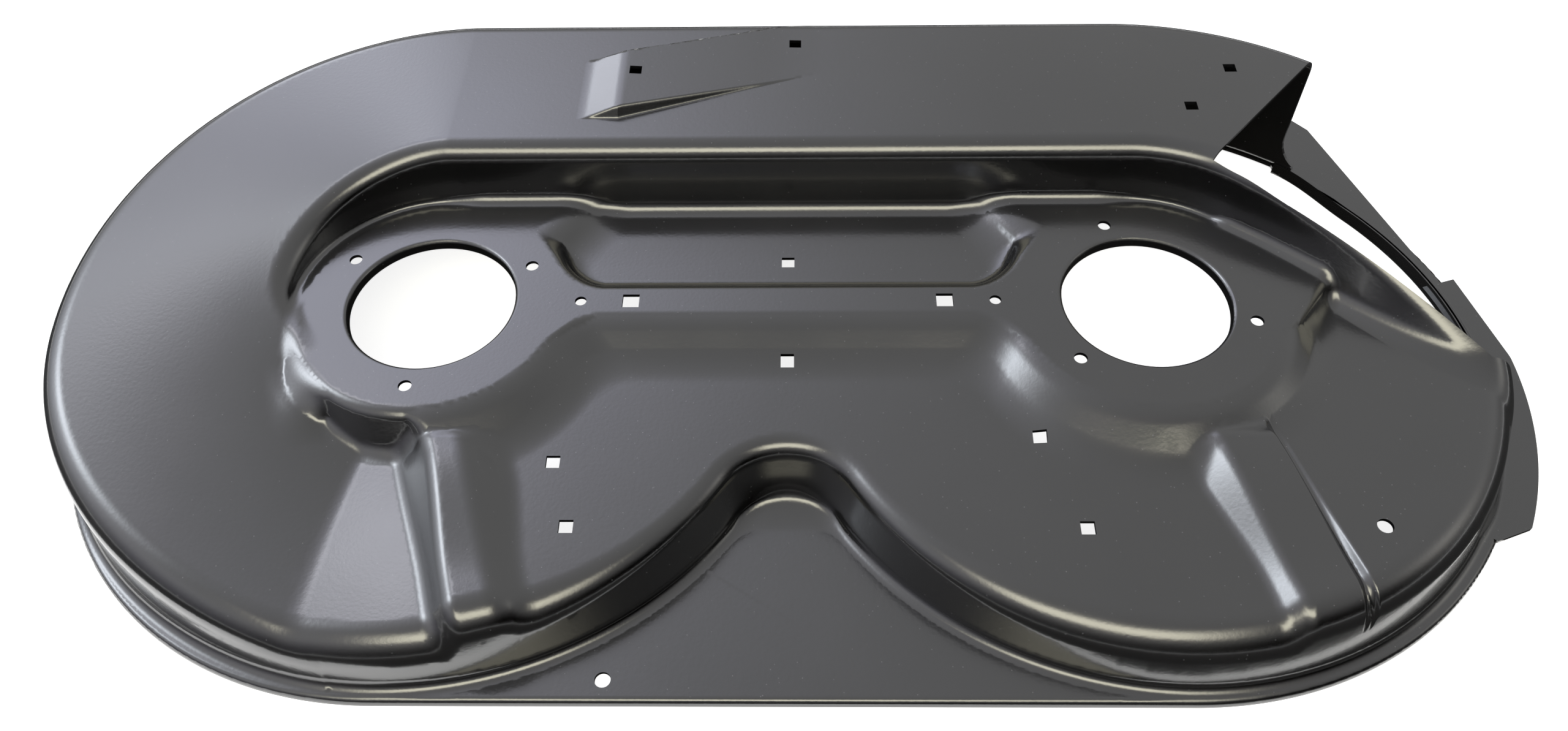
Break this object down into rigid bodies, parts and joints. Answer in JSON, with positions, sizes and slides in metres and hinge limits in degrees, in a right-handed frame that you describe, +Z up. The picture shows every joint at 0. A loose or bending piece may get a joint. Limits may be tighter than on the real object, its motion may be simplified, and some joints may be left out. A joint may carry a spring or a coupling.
{
  "type": "lawn mower deck",
  "caption": "Pressed steel cutting deck shell of a twin-blade ride-on mower, with spindle pads, a rising discharge tunnel, a side mouth and a flanged rim.",
  "frame": {"origin": "middle of the base, in the plane that the rim rests on, close to the point midway between the spindle axes", "axes": "+X along the line of the spindles towards the discharge side, +Y towards the front of the machine, +Z up out of the deck's top"},
  "size_m": [1.0379, 0.527, 0.128],
  "materials": {
    "black_paint": "semi-gloss black paint over pressed sheet steel"
  },
  "bodies": {
    "root": {"deck_shell": "black_paint"}
  },
  "joints": []
}
